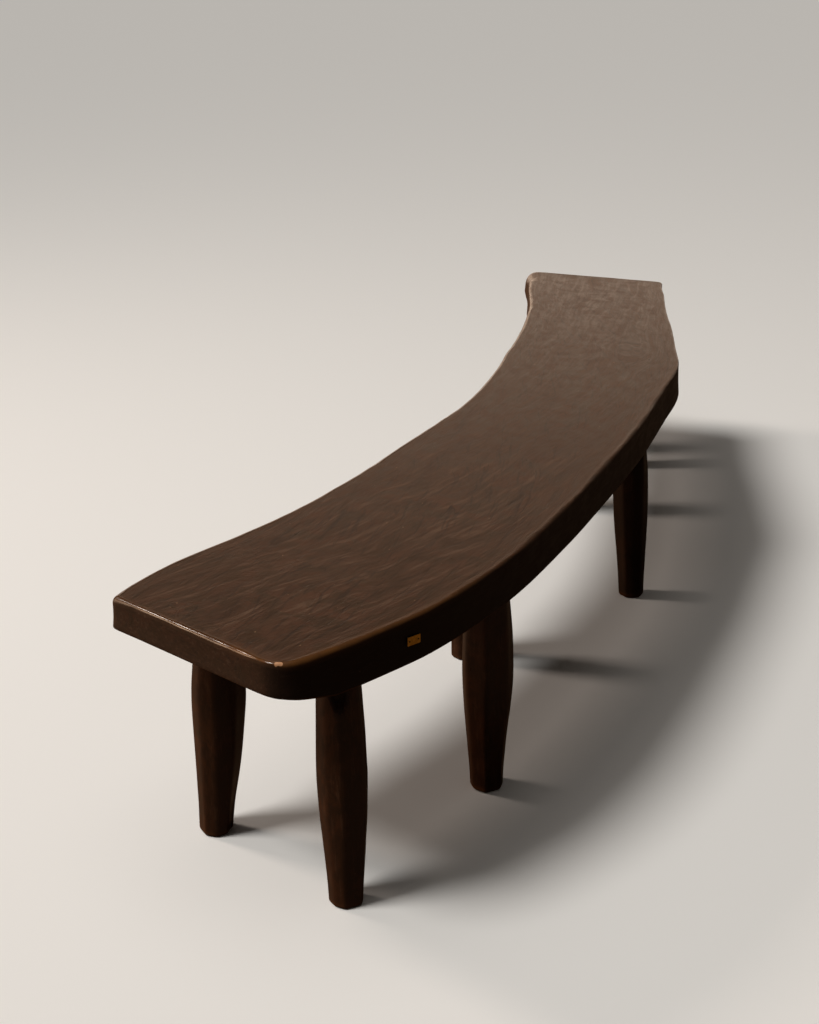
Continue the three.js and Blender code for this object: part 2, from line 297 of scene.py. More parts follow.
near_convex = np.clip(1 - from_column(0) / RUBBED_REACH, 0, 1) * on_convex
at_corner = np.max(
    [np.clip(1 - from_column(c) / CALM_REACH, 0, 1) for c in corner_columns[1:]], axis=0
)
wave = np.array([0.5 * ripple(u, 0.16, 1) + 0.3 * ripple(u, 0.05, 2) for u in run])
wave = -WAVE * (0.8 + wave) * (1 - at_corner)
swell = np.array([ripple(u, 0.11, 3) + 0.6 * ripple(u, 0.035, 4) for u in run])
scallop = np.array([abs(ripple(u, 0.13, 6)) for u in run])
near_end_soft = soften(near_end_mask, 5)
convex_soft = soften(on_convex * 1.0, 4)
far_convex = convex_soft * np.clip(from_column(0) / RUBBED_REACH, 0, 1)
far_inner, near_inner = (
    np.clip(1 - from_column(c) / SOFT_REACH, 0, 1) for c in corner_columns[2:]
)

# The rounding is tight on the convex side and the near end, scalloped on the convex side, and
# wide at the inner corners
radius = TOP_EDGE * (
    1 + 0.3 * swell * (1 - at_corner) - 0.52 * far_convex - 0.42 * near_end_soft
)
radius += 0.005 * near_inner + 0.004 * far_inner**0.7
radius += 0.006 * scallop * far_convex * np.clip(from_column(LONG) / 0.2, 0, 1)
foot_radius = BOTTOM_EDGE * (1 - 0.5 * near_end_soft) + 0.007 * far_inner

# Rows of the rim: down the upper rounding, the side and the lower rounding
ARC, FACE, FOOT_ARC = 7, 9, 5
rows, wear_rows = [], []
low = low_height(loop + outward * FLARE)
tangent_height = TOP - radius


def add_row(out, height, wear):
    """One more row of the rim, this far out from the edge loop, and how much it is rubbed."""
    spot = loop + outward * (out + wave)[:, None]
    spot[:, 2] = height
    rows.append(spot)
    wear_rows.append(wear * np.ones(columns))


for a in np.linspace(math.pi / 2, 0, ARC):
    add_row(
        side_out(tangent_height) - radius * (1 - math.cos(a)),
        TOP - radius * (1 - math.sin(a)),
        0.55 + 0.45 * math.sin(2 * a) if a > 0.5 else 0.2 + 0.6 * a,
    )
for share in np.linspace(0, 1, FACE)[1:-1]:
    height = tangent_height * (1 - share) + (low + foot_radius) * share
    add_row(side_out(height) - BELLY * np.sin(np.pi * share), height, 0.0)
for a in np.linspace(0, math.pi / 2, FOOT_ARC):
    add_row(
        side_out(low + foot_radius) - foot_radius * (1 - math.cos(a)),
        low + foot_radius * (1 - math.sin(a)),
        0.5 * math.sin(2 * a),
    )

points = np.vstack(rows)
wear = np.concatenate(wear_rows)
faces = tube_faces(len(rows), columns, downward=True)

# Upper face: a patch between the four sides of its rim, following them like the grain does
rim = rows[0]
convex_rim = rim[: LONG + 1]
far_rim = rim[LONG : LONG + SHORT + 1]
concave_rim = rim[LONG + SHORT : 2 * LONG + SHORT + 1][::-1]
near_rim = np.vstack([rim[2 * LONG + SHORT :], rim[:1]])[::-1]
s = np.linspace(0, 1, LONG + 1)[:, None, None]
t = np.linspace(0, 1, SHORT + 1)[None, :, None]
patch = (1 - t) * convex_rim[:, None] + t * concave_rim[:, None]
patch = patch + (1 - s) * near_rim[None] + s * far_rim[None]
patch -= (
    (1 - s) * (1 - t) * convex_rim[0]
    + s * (1 - t) * convex_rim[-1]
    + (1 - s) * t * concave_rim[0]
    + s * t * concave_rim[-1]
)
index = np.zeros((LONG + 1, SHORT + 1), int)
index[:, 0] = np.arange(LONG + 1)
index[-1, :] = np.arange(LONG, LONG + SHORT + 1)
index[:, -1] = np.arange(LONG + SHORT, 2 * LONG + SHORT + 1)[::-1]
index[0, :] = np.r_[np.arange(2 * LONG + SHORT, columns), 0][::-1]
inside = patch[1:-1, 1:-1].copy()
index[1:-1, 1:-1] = len(points) + np.arange(inside[..., 0].size).reshape(inside.shape[:2])
# It is planed by hand, so it dips a little
DIP = 0.00022
for i in range(inside.shape[0]):
    for j in range(inside.shape[1]):
        x, y, z = inside[i, j]
        dip = noise.noise(Vector((x * 7, y * 16, 3.1)))
        dip += 0.5 * noise.noise(Vector((x * 21, y * 34, 8.2)))
        fade = min(1, i / 4, j / 3, (LONG - 2 - i) / 4, (SHORT - 2 - j) / 3)
        inside[i, j, 2] = TOP - DIP * (1 + 0.7 * dip) * fade
points = np.vstack([points, inside.reshape(-1, 3)])

# The far inner corner is worn to a round nose: nothing stands out beyond a cylinder across it
WORN = 0.04
NOSE_REACH = 0.05
ACROSS = np.array([-0.351, 0.936, 0.0])
nose = np.clip(2 - np.linalg.norm((points - concave_rim[-1])[:, :2], axis=1) / NOSE_REACH, 0, 1)
beyond = points @ ACROSS - (points[nose > 0] @ ACROSS).max() + WORN
above = points[:, 2] - TOP + WORN
apart = np.maximum(np.hypot(beyond, above), WORN)
excess = np.where((beyond > 0) & (above > 0), 1 - WORN / apart, 0) * nose
points -= (excess * beyond)[:, None] * ACROSS
points[:, 2] -= excess * above

# The rubbing fades from the rim over a few millimetres of the upper face
RIM_FADE = 0.006
rims = (convex_rim[:, None], concave_rim[:, None], near_rim[None], far_rim[None])
margin = np.min([np.linalg.norm(patch - side, axis=2) for side in rims], axis=0)[1:-1, 1:-1]
wear = np.r_[wear, (0.55 * np.exp(-margin / RIM_FADE)).ravel()]
for i in range(LONG):
    for j in range(SHORT):
        faces.append((index[i, j], index[i + 1, j], index[i + 1, j + 1], index[i, j + 1]))

# The way of the grain: metres along the slab, across it and up
half_width = np.linalg.norm(concave_rim - convex_rim, axis=1) / 2
mid_run = (outer_run + inner_run[-1] - inner_run[::-1]) / 2
grain_top = np.stack(
    [
        mid_run[:, None] + 0 * t[..., 0],
        (2 * t[..., 0] - 1) * half_width[:, None],
        TOP + 0 * patch[..., 0],
    ],
    2,
)
# It flows round a knot past the elbow, which has a place, a length, a width and a push
knot_along, knot_aside, knot_long, knot_wide, knot_push = 1.62, -0.055, 0.09, 0.045, 0.028
dx = (grain_top[..., 0] - knot_along) / knot_long
dy = (grain_top[..., 1] - knot_aside) / knot_wide
near_knot = np.exp(-(dx**2) - dy**2)
grain_top[..., 1] -= knot_push * np.tanh(3 * dy) * near_knot
grain_top[..., 0] += 0.5 * knot_push * dx * near_knot
rim_grain = np.vstack(
    [grain_top[:-1, 0], grain_top[-1, :-1], grain_top[::-1, -1][:-1], grain_top[0, ::-1][:-1]]
)
grain = [np.column_stack([rim_grain[:, :2], spot[:, 2]]) for spot in rows]
grain = np.vstack([*grain, grain_top[1:-1, 1:-1].reshape(-1, 3)])


def leg_axis(name):
    """Middle of the foot and middle of the tenon's end, from the CAD leg."""
    p, _ = cad("leg_" + name)
    foot = p[np.abs(p[:, 2]) < SAME].mean(0)
    end = p[p[:, 2] > p[:, 2].max() - SAME]
    return foot, (end.max(0) + end.min(0)) / 2


axes = {name: leg_axis(name) for name in LEGS}


def on_axis(name, height):
    """The point of a leg's axis at a height."""
    foot, end = axes[name]
    return foot + (end - foot) * (height / end[2])


# Underside: flat between the two tapers, with the eight blind holes of the CAD slab
last_row = (len(rows) - 1) * columns
flat_points = [Vector(p[:2]) for p in rows[-1]]
flat_number = list(range(last_row, last_row + columns))
loops = [list(range(columns))]
wall_points = {}
for name in LEGS:
    in_hole = np.array(
        [
            UNDERSIDE - SAME < p[2] < HOLE_TOP
            and np.linalg.norm((p - on_axis(name, p[2]))[:2]) < HOLE_REACH
            for p in slab_points
        ]
    )
    for k in np.flatnonzero(in_hole):
        wall_points[int(k)] = len(points) + len(wall_points)
    walls = [f for f in slab_faces if all(in_hole[k] for k in f)]
    walls = [f for f in walls if max(slab_points[k][2] for k in f) > UNDERSIDE + SAME]
    faces += [tuple(wall_points[k] for k in f) for f in walls]
    ring = ring_at(slab_points, walls, UNDERSIDE)
    loops.append(list(range(len(flat_points), len(flat_points) + len(ring))))
    flat_points += [Vector(slab_points[k][:2]) for k in ring]
    flat_number += [wall_points[k] for k in ring]
order = sorted(wall_points, key=wall_points.get)
points = np.vstack([points, slab_points[order]])
wear = np.r_[wear, np.zeros(len(order))]
grain = np.vstack([grain, slab_points[order] + [[HALF_LENGTH, 0, 0]] * len(order)])
constraints = [(a, b) for ring in loops for a, b in zip(ring, ring[1:] + ring[:1])]
for start, inward in ends:
    past_taper = (rows[-1] - start) @ inward + FLARE - TAPER_LENGTH
    crossing = [c for c in range(columns) if past_taper[c] * past_taper[c - 1] <= 0]
    if len(crossing) == 2:
        constraints.append(tuple(crossing))
holes = [Vector(on_axis(name, UNDERSIDE)[:2]) for name in LEGS]
underside = flat_faces(
    flat_points, constraints, flat_number,
    lambda middle: all((middle - hole).length >= IN_HOLE for hole in holes),
)
faces += [f[::-1] for f in underside]

# How much each place is rubbed: the near convex edge and the near end the most
END_BAND = 0.11
TOP_BAND = 0.13
END_FADE = 0.02
near_band = np.clip(1 - from_column(0) / END_BAND, 0, 1) ** 0.5 * near_end_mask
rim_wear = 0.1 + 0.9 * near_convex**0.7 + 0.25 * near_end_mask + 0.65 * near_band
column_wear = np.tile(rim_wear, len(rows))
column_wear[-FOOT_ARC * columns :] += np.tile(0.5 * on_convex, FOOT_ARC)
corner_apart = np.linalg.norm(patch[1:-1, 1:-1] - patch[0, 0], axis=2)
beside_convex = t[0, 1:-1, 0][None] * 2 * half_width[1:-1, None] < mid_run[1:-1, None]
top_wear = 0.12 + 0.9 * np.where(
    beside_convex,
    np.clip(1 - corner_apart / RUBBED_REACH, 0, 1) ** 0.7,
    np.clip(1 - corner_apart / TOP_BAND, 0, 1) ** 0.5,
)
top_wear += 0.35 * np.exp(-mid_run[1:-1] / END_FADE)[:, None]
strength = np.r_[column_wear, top_wear.ravel(), np.zeros(len(order))]

# Painted shade: the convex side, turned away from the lamps, is painted the darkest, with part of
# the near end, and the painted shade turns the near corner
turned = (near_end_mask > 0) * (from_column(0) < 0.012) * 1.0
convex = np.clip(soften(on_convex + turned, 14) + 0.62 * near_end_soft, 0, 1)
down = np.clip((np.arange(len(rows)) - 0.35 * ARC) / (0.5 * ARC), 0, 1)
flank = (down[:, None] * convex).ravel()
flank = np.r_[flank, np.zeros(len(points) - len(flank))]

# The upper rounding has the most polish, above all at the near end
gleam = (0.3 + 0.7 * near_end_soft) * (1 - 0.9 * convex_soft)
gleam *= np.clip(from_column(corner_columns[3]) / 0.1, 0.15, 1)
polish = np.where(np.arange(len(rows)) < ARC, 1.0, 0.0)[:, None] * gleam
polish = np.r_[np.clip(polish, 0, 1).ravel(), np.zeros(len(points) - len(rows) * columns)]

# A chip beside the near convex corner: its middle, its way, its length and its width
CHIP = np.array([-1.1355, -0.0546, 0.437])
CHIP_WAY = np.array([0.35, -0.937, 0.0])
CHIP_LONG, CHIP_WIDE = 0.0062, 0.0034
off = points - CHIP
along = off @ CHIP_WAY
aside_squared = np.linalg.norm(off, axis=1) ** 2 - along**2
chip = np.exp(-((along / CHIP_LONG) ** 4) - aside_squared**2 / CHIP_WIDE**4)
slab = new_piece(
    "slab", points, faces, "seat_wood", grain,
    wear=wear * np.clip(strength, 0, 1.2), flank=flank, polish=polish, chip=chip,
)
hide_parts("seat_slab")


# Legs: the CAD leg's profile with softly carved facets, and its own tenon

# Points round a leg, rings up to where they crowd, and rings from there to the shoulder
AROUND, UP_STEPS, CLOSE_STEPS = 144, 76, 36
CROWDED_ABOVE = 0.31
FOOT_EDGE = 0.0065
FACETS = 8
# The higher this is, the crisper are the edges between the facets
SOFTNESS = 19
# Places where a leg was left fuller or cut back: facing in degrees, height, change, and spreads
HAND_CUTS = {
    "inner_1": [
        (-70, 0.37, -0.0085, 62, 0.1),
        (-70, 0.0, -0.0062, 55, 0.1),
        (110, 0.37, -0.002, 50, 0.1),
    ],
    "outer_1": [
        (206, 0.352, -0.0115, 31, 0.02),
        (-70, 0.2, 0.0035, 55, 0.22),
        (110, 0.2, -0.0022, 55, 0.3),
    ],
    "outer_2": [(-70, 0.24, 0.0042, 45, 0.09)],
    "outer_3": [(-70, 0.30, -0.003, 45, 0.10)],
}
# A change beyond this is a deep cut, which is crisp and gets painted shade in its hollow
DEEP = -0.01
# The seed of each leg's facets, which also moves its grain
CARVING = {
    "outer_1": 11, "outer_2": 23, "outer_3": 35, "outer_4": 47,
    "inner_1": 59, "inner_2": 61, "inner_3": 73, "inner_4": 85,
}
# The leg painted darkest, as shade from the seat above it, and how dark the painted shade is on it
# and in the deep cuts
SHADE_PAINTED_LEG, LEG_SHADE_SHARE, CUT_SHADE_SHARE = "outer_3", 0.75, 0.6
RUBBED_FOOT = 0.012


def leg_profile(name, points):
    """Heights and outer radii of the CAD leg's rings up to its shoulder."""
    below = points[points[:, 2] < SHOULDER + SAME]
    heights = np.unique(np.round(below[:, 2], 5))
    radii = []
    for height in heights:
        ring = below[np.abs(below[:, 2] - height) < SAME]
        radii.append(max(np.linalg.norm((p - on_axis(name, height))[:2]) for p in ring))
    return heights, np.array(radii)


def hand_cut(off, rise, change, wide, tall):
    """Share of a hand cut at an angle and a height from its middle.

    Deep cuts are crisp and narrow down.
    """
    if change > DEEP:
        return np.exp(-((off / wide) ** 2) - abs(rise / tall) ** 3)
    narrowed = wide * np.clip(0.8 + 0.35 * rise / tall, 0.4, 1.1)
    return np.exp(-((off / narrowed) ** 6) - abs(rise / tall) ** 4)


def turn_between(angle, way):
    """Degrees from a facing to an angle, the shorter way round."""
    return (angle - way + 180) % 360 - 180


def ring_heights():
    """Heights of a leg's rings: round the lower edge, up the body, and closer to the shoulder."""
    levels = [FOOT_EDGE * (1 - math.cos(a)) for a in np.linspace(0, math.pi / 2, 6)]
    levels += list(np.linspace(FOOT_EDGE, CROWDED_ABOVE, UP_STEPS)[1:])
    return levels + list(np.linspace(CROWDED_ABOVE, SHOULDER, CLOSE_STEPS)[1:])


def carved_rings(name, heights, radii):
    """Rings of a leg up to its shoulder, with its own facets and hand cuts."""
    rng = np.random.default_rng(CARVING[name])
    facing = np.arange(FACETS) * 360 / FACETS + rng.uniform(-10, 10, FACETS)
    facing = np.radians(facing) + rng.uniform(0, 1)
    seeds = rng.uniform(0, 90, FACETS)
    angle = 2 * np.pi * np.arange(AROUND) / AROUND
    rings = []
    for z in ring_heights():
        shape = np.zeros(AROUND)
        for way, seed in zip(facing, seeds):
            depth = 0.982 + 0.045 * ripple(z, 0.13, seed) + 0.014 * ripple(z, 0.05, seed + 3)
            swing = way + 0.08 * ripple(z, 0.16, seed + 5)
            shape += np.clip(np.cos(angle - swing) / depth, 0, None) ** SOFTNESS
        reach = smooth_value(heights, radii, max(z, FOOT_EDGE)) * shape ** (-1 / SOFTNESS)
        for way, height, change, wide, tall in HAND_CUTS.get(name, []):
            off = turn_between(np.degrees(angle), way)
            reach = reach + change * hand_cut(off, z - height, change, wide, tall)
        if z < FOOT_EDGE:
            reach -= FOOT_EDGE - math.sqrt(max(0, FOOT_EDGE**2 - (FOOT_EDGE - z) ** 2))
        centre = on_axis(name, z)
        x, y = centre[0] + reach * np.cos(angle), centre[1] + reach * np.sin(angle)
        rings.append(np.stack([x, y, z + 0 * angle], 1))
    return rings


def make_leg(name):
    """A leg: carved rings up to the shoulder, and the tenon of the CAD leg on it."""
    cad_points, cad_faces = cad("leg_" + name)
    heights, radii = leg_profile(name, cad_points)
    rings = carved_rings(name, heights[1:], radii[1:])
    points = np.vstack(rings)
    faces = tube_faces(len(rings), AROUND, downward=False)
    faces.append(tuple(reversed(range(AROUND))))

    tenon = [f for f in cad_faces if min(cad_points[k][2] for k in f) > SHOULDER - SAME]
    tenon = [f for f in tenon if max(cad_points[k][2] for k in f) > SHOULDER + SAME]
    used = sorted({k for f in tenon for k in f})
    number = {k: len(points) + i for i, k in enumerate(used)}
    faces += [tuple(number[k] for k in f) for f in tenon]
    neck = ring_at(cad_points, tenon, SHOULDER)
    top = (len(rings) - 1) * AROUND
    flat = [Vector(p[:2]) for p in rings[-1]] + [Vector(cad_points[k][:2]) for k in neck]
    flat_number = list(range(top, top + AROUND)) + [number[k] for k in neck]
    count = len(neck)
    edges = [(i, (i + 1) % AROUND) for i in range(AROUND)]
    edges += [(AROUND + i, AROUND + (i + 1) % count) for i in range(count)]
    axis = Vector(on_axis(name, SHOULDER)[:2])
    faces += flat_faces(
        flat, edges, flat_number, lambda middle: (middle - axis).length > IN_TENON
    )

    points = np.vstack([points, cad_points[used]])
    height = points[:, 2]
    from_axis = (points - np.array([on_axis(name, z) for z in height]))[:, :2]
    grain = np.stack([height + CARVING[name], *from_axis.T], 1)
    rubbed = np.clip(1 - height / RUBBED_FOOT, 0, 1)
    facing = np.degrees(np.arctan2(from_axis[:, 1], from_axis[:, 0]))
    # Painted shade: the leg in the seat's shadow and the hollows of the deep cuts are darkened in
    # their colour
    dark = np.full(len(points), LEG_SHADE_SHARE if name == SHADE_PAINTED_LEG else 0.0)
    for way, middle, change, wide, tall in HAND_CUTS.get(name, []):
        if change < DEEP:
            off = turn_between(facing, way)
            dark = CUT_SHADE_SHARE * hand_cut(off, height - middle, change, wide, tall)
    piece = new_piece(
        "carved_leg_" + name, points, faces, "leg_wood", grain, wear=rubbed, flank=dark
    )
    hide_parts("leg_" + name)
    return piece


def smooth_value(places, values, at):
    """A smooth curve through values at places, with the slopes of a finite difference."""
    slopes = np.gradient(values, places)
    k = int(np.clip(np.searchsorted(places, at) - 1, 0, len(places) - 2))
    h = places[k + 1] - places[k]
    u = (at - places[k]) / h
    return (
        values[k] * (1 + 2 * u) * (1 - u) ** 2
        + slopes[k] * h * u * (1 - u) ** 2
        + values[k + 1] * u * u * (3 - 2 * u)
        + slopes[k + 1] * h * u * u * (u - 1)
    )


legs = {name: make_leg(name) for name in LEGS}


# Materials


class Shader:
    """A material's node tree, with short calls to add nodes to it."""

    def __init__(self, name):
        self.material = bpy.data.materials.new(name)
        self.material.use_nodes = True
        self.tree = self.material.node_tree
        self.surface = self.tree.nodes["Principled BSDF"]

    def feed(self, socket, value):
        """Links a socket to another one, or sets it to a constant."""
        if isinstance(value, bpy.types.NodeSocket):
            self.tree.links.new(value, socket)
        else:
            socket.default_value = value

    def put(self, kind, values=None, **settings):
        node = self.tree.nodes.new(kind)
        for key, value in settings.items():
            setattr(node, key, value)
        for key, value in (values or {}).items():
            self.feed(node.inputs[key], value)
        return node

    def attribute(self, name, output):
        return self.put("ShaderNodeAttribute", attribute_name=name).outputs[output]

    def math(self, operation, *values, clamp=False):
        values = dict(enumerate(values))
        return self.put("ShaderNodeMath", values, operation=operation, use_clamp=clamp).outputs[0]

    def noise(self, vector, scale, detail=3.0, roughness=0.5, distortion=0.0):
        values = {
            "Vector": vector, "Scale": scale, "Detail": detail,
            "Roughness": roughness, "Distortion": distortion,
        }
        return self.put("ShaderNodeTexNoise", values).outputs["Fac"]

    def stretch(self, vector, factors, offset=(0, 0, 0)):
        values = {"Vector": vector, "Scale": factors, "Location": offset}
        return self.put("ShaderNodeMapping", values).outputs[0]

    def turn(self, vector, degrees):
        values = {"Vector": vector, "Rotation": (0.0, 0.0, math.radians(degrees))}
        return self.put("ShaderNodeMapping", values).outputs[0]

    def spread(self, value, low, high, to_low=0.0, to_high=1.0):
        values = {
            "Value": value, "From Min": low, "From Max": high, "To Min": to_low, "To Max": to_high,
        }
        node = self.put("ShaderNodeMapRange", values, interpolation_type="SMOOTHSTEP")
        return node.outputs[0]

    def mix(self, factor, a, b):
        node = self.put("ShaderNodeMix", data_type="RGBA")
        for key, value in ((0, factor), (6, a), (7, b)):
            self.feed(node.inputs[key], value)
        return node.outputs[2]

    def set(self, **values):
        for key, value in values.items():
            self.feed(self.surface.inputs[key.replace("_", " ")], value)

    def bump(self, height, distance):
        values = {"Height": height, "Distance": distance, "Strength": 1.0}
        return self.put("ShaderNodeBump", values).outputs[0]


def rgb(r, g, b):
    return (r, g, b, 1.0)


PALE_STROKE = rgb(0.112, 0.066, 0.04)
# The near black that is painted in as shade
PAINTED_SHADE_TONE = rgb(0.0112, 0.0068, 0.0046)
SPECK = rgb(0.3, 0.18, 0.1)
BARE_CHIP = rgb(0.55, 0.29, 0.15)
RELIEF = 0.00026


def stained_wood(name, dark, usual, warm, cool, rubbed, roughness, shine, specks, lines):
    """Dark stained wood, its grain smeared over by sanding, along the grain attribute.

    Its scales count cells to the metre, along the grain and across it.
    """
    m = Shader(name)
    way = m.attribute("grain", "Vector")
    bend = m.noise(m.stretch(way, (3.4, 10.0, 10.0)), 1.0, 3.0)
    sideways = m.math("MULTIPLY", bend, 0.06)
    drift = m.put("ShaderNodeCombineXYZ", {"X": 0.0, "Y": sideways, "Z": 0.0}).outputs[0]
    bent = m.put("ShaderNodeVectorMath", {0: way, 1: drift}, operation="ADD").outputs[0]
    one_way, other_way = m.turn(bent, 6.0), m.turn(bent, -11.0)
    cloud = m.noise(m.stretch(bent, (7.0, 13.0, 13.0)), 1.0, 3.0, 0.55, 0.6)
    patch = m.noise(m.stretch(bent, (26.0, 40.0, 40.0), (3.1, 5.7, 2.3)), 1.0, 5.0, 0.65, 0.5)
    streak = m.noise(m.stretch(bent, (8.0, 110.0, 110.0)), 1.0, 4.0, 0.6, 0.4)
    fine = m.noise(m.stretch(bent, (26.0, 420.0, 420.0)), 1.0, 3.0, 0.6, 0.3)
    stroke = m.noise(m.stretch(one_way, (9.0, 210.0, 210.0)), 1.0, 3.0, 0.65, 0.12)
    scratch_way = m.stretch(other_way, (9.0, 230.0, 230.0), (2.6, 0.0, 4.1))
    scratch = m.noise(scratch_way, 1.0, 3.0, 0.6, 0.12)
    crack = m.noise(m.stretch(other_way, (2.0, 62.0, 62.0), (1.7, 9.4, 0.0)), 1.0, 1.5, 0.4)
    colour = m.mix(m.spread(patch, 0.4, 0.6), cool, warm)
    colour = m.mix(m.spread(cloud, 0.35, 0.65, 0.7, 0.15), colour, usual)
    colour = m.mix(m.spread(streak, 0.45, 0.75, 0.0, 0.3 * lines), colour, dark)
    colour = m.mix(m.spread(fine, 0.48, 0.7, 0.0, 0.45 * lines), colour, dark)
    light = m.mix(m.spread(patch, 0.3, 0.7), warm, PALE_STROKE)
    colour = m.mix(m.spread(stroke, 0.55, 0.61, 0.0, 0.5 * lines), colour, light)
    colour = m.mix(m.spread(scratch, 0.575, 0.635, 0.0, 0.52 * lines), colour, dark)
    line = m.math("ABSOLUTE", m.math("SUBTRACT", crack, 0.5))
    open_line = m.math("MULTIPLY", m.spread(line, 0.0, 0.008, 1.0, 0.0), m.spread(cloud, 0.54, 0.6))
    colour = m.mix(m.math("MULTIPLY", open_line, 0.6), colour, dark)
    speck = m.noise(m.stretch(way, (150.0, 190.0, 190.0), (4.4, 0.0, 7.9)), 1.0, 1.0, 0.5)
    colour = m.mix(m.spread(speck, 0.8, 0.83, 0.0, specks), colour, SPECK)
    wear = m.attribute("wear", "Fac")
    patchy = m.noise(m.stretch(way, (18.0, 18.0, 18.0)), 1.0, 4.0, 0.6)
    amount = m.math("MULTIPLY", wear, m.spread(patchy, 0.25, 0.65, 0.5, 1.3), clamp=True)
    # Painted shade: on shaded sides and in deep cuts the colour goes most of the way to near black
    flank = m.attribute("flank", "Fac")
    colour = m.mix(m.math("MULTIPLY", flank, 0.82), colour, PAINTED_SHADE_TONE)
    colour = m.mix(amount, colour, rubbed)
    ragged = m.math("MULTIPLY", m.math("SUBTRACT", patchy, 0.5), 0.5)
    ragged = m.math("ADD", m.attribute("chip", "Fac"), ragged)
    colour = m.mix(m.spread(ragged, 0.35, 0.5), colour, BARE_CHIP)
    m.set(Base_Color=colour)
    polish = m.attribute("polish", "Fac")
    unpolished = m.math("SUBTRACT", 1.0, polish)
    uneven = m.math(
        "ADD", m.spread(stroke, 0.3, 0.7, -0.04, 0.05), m.spread(patch, 0.3, 0.7, -0.05, 0.05)
    )
    rough = m.math("ADD", m.math("MULTIPLY", uneven, unpolished), roughness)
    rough = m.math("ADD", rough, m.math("MULTIPLY", flank, 0.22))
    m.set(Roughness=m.math("SUBTRACT", rough, m.math("MULTIPLY", polish, 0.23)))
    relief = m.math("ADD", m.math("MULTIPLY", patch, 0.3), m.math("MULTIPLY", stroke, 0.5 * lines))
    relief = m.math("SUBTRACT", relief, m.math("MULTIPLY", scratch, 0.5 * lines))
    relief = m.math("SUBTRACT", relief, m.math("MULTIPLY", open_line, 0.25))
    relief = m.math("MULTIPLY", relief, m.spread(polish, 0.0, 0.5, 1.0, 0.0))
    gloss = m.spread(flank, 0.0, 1.0, shine, 0.35 * shine)
    gloss = m.math("ADD", gloss, m.math("MULTIPLY", polish, 0.25))
    matt = m.math("MULTIPLY", amount, unpolished)
    gloss = m.math("MULTIPLY", gloss, m.spread(matt, 0.0, 1.0, 1.0, 0.45))
    m.set(Normal=m.bump(relief, RELIEF), Specular_IOR_Level=gloss)
    return m.material


seat_wood = stained_wood(
    "seat_wood",
    dark=rgb(0.0132, 0.006, 0.0034), usual=rgb(0.0437, 0.0179, 0.0076),
    warm=rgb(0.058, 0.0214, 0.009), cool=rgb(0.038, 0.0192, 0.0089),
    rubbed=rgb(0.105, 0.042, 0.0115), roughness=0.36, shine=0.24, specks=0.8, lines=1.0,
)
leg_wood = stained_wood(
    "leg_wood",
    dark=rgb(0.0062, 0.003, 0.0018), usual=rgb(0.0262, 0.0094, 0.0038),
    warm=rgb(0.044, 0.0142, 0.0048), cool=rgb(0.019, 0.0079, 0.0038),
    rubbed=rgb(0.08, 0.032, 0.013), roughness=0.36, shine=0.24, specks=0.2, lines=0.4,
)

bare = Shader("wedge_wood")
bare_way = bare.put("ShaderNodeTexCoord").outputs["Object"]
bare_grain = bare.noise(bare.stretch(bare_way, (180.0, 180.0, 9.0)), 1.0, 3.0)
bare_broad = bare.noise(bare.stretch(bare_way, (40.0, 40.0, 5.0)), 1.0, 2.0)
bare_tones = rgb(0.55, 0.33, 0.15), rgb(0.42, 0.22, 0.085)
bare_tone = bare.mix(bare.spread(bare_grain, 0.3, 0.7), *bare_tones)
bare_tone = bare.mix(bare.spread(bare_broad, 0.4, 0.7, 0.0, 0.4), bare_tone, rgb(0.36, 0.19, 0.08))
bare.set(Base_Color=bare_tone, Roughness=bare.spread(bare_grain, 0.3, 0.7, 0.6, 0.78))
bare.set(Normal=bare.bump(bare_grain, 0.0002))

metal = Shader("brass")
metal_way = metal.put("ShaderNodeTexCoord").outputs["Object"]
metal_cloud = metal.noise(metal_way, 160.0, 4.0, 0.6)
metal_brush = metal.noise(metal.stretch(metal_way, (90.0, 90.0, 2200.0)), 1.0, 2.0)
metal_tones = rgb(0.5, 0.28, 0.042), rgb(0.34, 0.18, 0.022)
metal_tone = metal.mix(metal.spread(metal_cloud, 0.35, 0.7), *metal_tones)
metal.set(Base_Color=metal_tone, Metallic=1.0)
metal.set(Roughness=metal.spread(metal_brush, 0.3, 0.7, 0.26, 0.4))
metal.set(Normal=metal.bump(metal_brush, 0.00004))

# The pins are duller than the plate
dull = Shader("dull_brass")
dull_cloud = dull.noise(dull.put("ShaderNodeTexCoord").outputs["Object"], 900.0, 3.0, 0.6)
dull_tones = rgb(0.12, 0.07, 0.02), rgb(0.05, 0.028, 0.009)
dull_tone = dull.mix(dull.spread(dull_cloud, 0.35, 0.7), *dull_tones)
dull.set(Base_Color=dull_tone, Metallic=1.0, Roughness=dull.spread(dull_cloud, 0.3, 0.7, 0.4, 0.6))
dull.set(Normal=dull.bump(dull_cloud, 0.00003))

for piece, material in [(slab, seat_wood), *((leg, leg_wood) for leg in legs.values())]:
    piece.data.materials.clear()
    piece.data.materials.append(material)
for name, node in nodes.items():
    if name.startswith("wedge_"):
        node.data.materials.clear()
        node.data.materials.append(bare.material)
    elif name.startswith(("plate_", "blank_")):
        node.data.materials.clear()
        node.data.materials.append((dull if name.startswith("plate_") else metal).material)

bevel = nodes["blank_plate"].modifiers.new("soft_edge", "BEVEL")
bevel.width = 0.0006
bevel.segments = 2
bevel.limit_method = "ANGLE"
bevel.angle_limit = math.radians(40)

# Floor, light and camera

FLOOR_HALF = 40.0
floor_mesh = bpy.data.meshes.new("floor")
floor_corners = [
    (x * FLOOR_HALF, y * FLOOR_HALF, 0) for x, y in ((-1, -1), (1, -1), (1, 1), (-1, 1))
]
floor_mesh.from_pydata(floor_corners, [], [(0, 1, 2, 3)])
floor = bpy.data.objects.new("floor", floor_mesh)
bpy.context.scene.collection.objects.link(floor)
